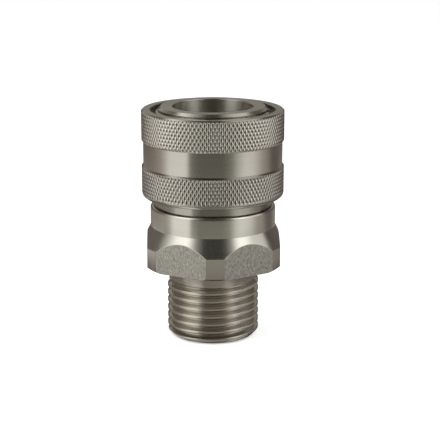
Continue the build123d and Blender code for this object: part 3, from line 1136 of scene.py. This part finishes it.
def blend_by(tree, value, ends, before, after):
    """Goes softly from one colour to another while a value runs between two ends."""
    share = run_between(tree, value, *ends, interpolation_type="SMOOTHSTEP")
    return mixed_colour(tree, share, before, after)


# %% The lantern's glow
lantern_eye = 0.03
under_part_shadow_ends = (0.0115, 0.016)
hexagon_shade = 0.55
shade_starts = (0.050, 0.054)
shade_stops = (0.066, 0.071)
near_to_low = (0.084, 0.110)
upward_blends = ((-11.0, -6.0), (3.0, 17.0), (44.0, 56.0), (76.0, 86.0))
soft_turn = 8
soft_edge = 6 * MM

lantern_paint = bpy.data.materials.new("lantern_paint")
lantern_paint.use_nodes = True
tree = lantern_paint.node_tree
tree.nodes.clear()
distance, x, y, z = from_axis(tree, put(tree, "ShaderNodeTexCoord").outputs["Object"])
azimuth = calc(tree, "DEGREES", calc(tree, "ARCTAN2", x, times(tree, y, -1)))
elevation = calc(tree, "DEGREES", calc(tree, "ARCTAN2", minus(tree, z, lantern_eye), distance))
near, low, level, high, upper = (ring_of(tree, azimuth, ring) for ring in rings)
# The painted shadow under the part, which reflections see.
glow = blend_by(tree, distance, under_part_shadow_ends, half_bright(under_part_shadow_colour), near)
dimmed = run_between(tree, distance, *shade_starts, 1.0, hexagon_shade)
restored = run_between(tree, distance, *shade_stops, 1.0, 1 / hexagon_shade)
dim = times(tree, dimmed, restored)
glow = put(tree, "ShaderNodeVectorMath", {0: glow, "Scale": dim}, operation="SCALE").outputs[0]
glow = blend_by(tree, distance, near_to_low, glow, low)
for (left, right), (near_end, far_end), (value, tint) in floor_cards:
    shares = [
        run_between(tree, measure, edge - softness, edge)
        for measure, edge, softness in (
            (azimuth, left, soft_turn),
            (times(tree, azimuth, -1), -right, soft_turn),
            (distance, near_end * MM, soft_edge),
            (times(tree, distance, -1), -far_end * MM, soft_edge),
        )
    ]
    share = times(tree, times(tree, *shares[:2]), times(tree, *shares[2:]))
    glow = mixed_colour(tree, share, glow, half_bright(tint, value))
for ends, ring in zip(upward_blends, (level, high, upper, half_bright(zenith_colour))):
    glow = blend_by(tree, elevation, ends, glow, ring)
shine = put(tree, "ShaderNodeEmission", {"Color": glow, "Strength": full_glow})
leave = put(tree, "ShaderNodeOutputMaterial")
tree.links.new(shine.outputs[0], leave.inputs["Surface"])
lantern_paint.cycles.emission_sampling = "NONE"
print("lantern nodes", len(tree.nodes))

# %% The lantern
lantern_r = 0.6
lantern_top = 1.6
lantern_gap = 0.0002
lantern_sides = 96
outline = [(under_part_r, lantern_gap), (lantern_r, lantern_gap), (lantern_r, lantern_top), (0.0, lantern_top)]
points = [(r * cos(a), r * sin(a), h) for r, h in outline for a in even_angles(lantern_sides)]
faces = []
for ring in range(len(outline) - 1):
    lower, higher = ring * lantern_sides, (ring + 1) * lantern_sides
    for i in range(lantern_sides):
        k = (i + 1) % lantern_sides
        faces.append((lower + i, lower + k, higher + k, higher + i))
lantern = new_piece("lantern", points, faces)
lantern.data.materials.append(lantern_paint)
for rays in ("camera", "diffuse", "shadow", "transmission"):
    setattr(lantern, f"visible_{rays}", False)
lantern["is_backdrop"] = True
print("lantern", len(faces), "faces")

# %% [markdown]
# ## Lamps and camera
# Two large soft lamps give gentle shadows. Reflections don't see them, because the lantern already gives the steel
# its highlights. The camera was fitted to the photo's outlines, and stands about 0.3 m away, a little above the part.

# %% Lamps
lamp_size = 0.35
aim_point = Vector((0, 0, 0.025))
for name, place, power in (
    ("left_lamp", (-0.35, -0.15, 0.55), 2.2),
    ("right_lamp", (0.38, -0.12, 0.5), 1.8),
):
    lamp = bpy.data.lights.new(name, "AREA")
    lamp.energy = power
    lamp.size = lamp_size
    holder = bpy.data.objects.new(name, lamp)
    holder.location = place
    holder.rotation_euler = (aim_point - Vector(place)).to_track_quat("-Z", "Y").to_euler()
    holder.visible_glossy = False
    bpy.context.scene.collection.objects.link(holder)
    print(name, power, "W")

# %% Camera
camera_data = bpy.data.cameras.new("camera")
camera_data.lens = 109.65
camera_data.sensor_width = 36
camera = bpy.data.objects.new("camera", camera_data)
camera.location = (-0.00873, -0.29639, 0.10316)
camera.rotation_euler = (radians(75.505), 0, radians(-2))
camera_data.clip_start = 0.01
camera_data.clip_end = 20
bpy.context.scene.collection.objects.link(camera)
bpy.context.scene.camera = camera
bpy.context.scene.view_settings.view_transform = "Standard"
print("camera", round(camera.location.length, 3), "m from the part's foot")

# %% [markdown]
# ## The finished part's box
# Looks must not change sizes, so the finished part's box is measured at the end.

# %% Measure the finished part's box
low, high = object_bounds()
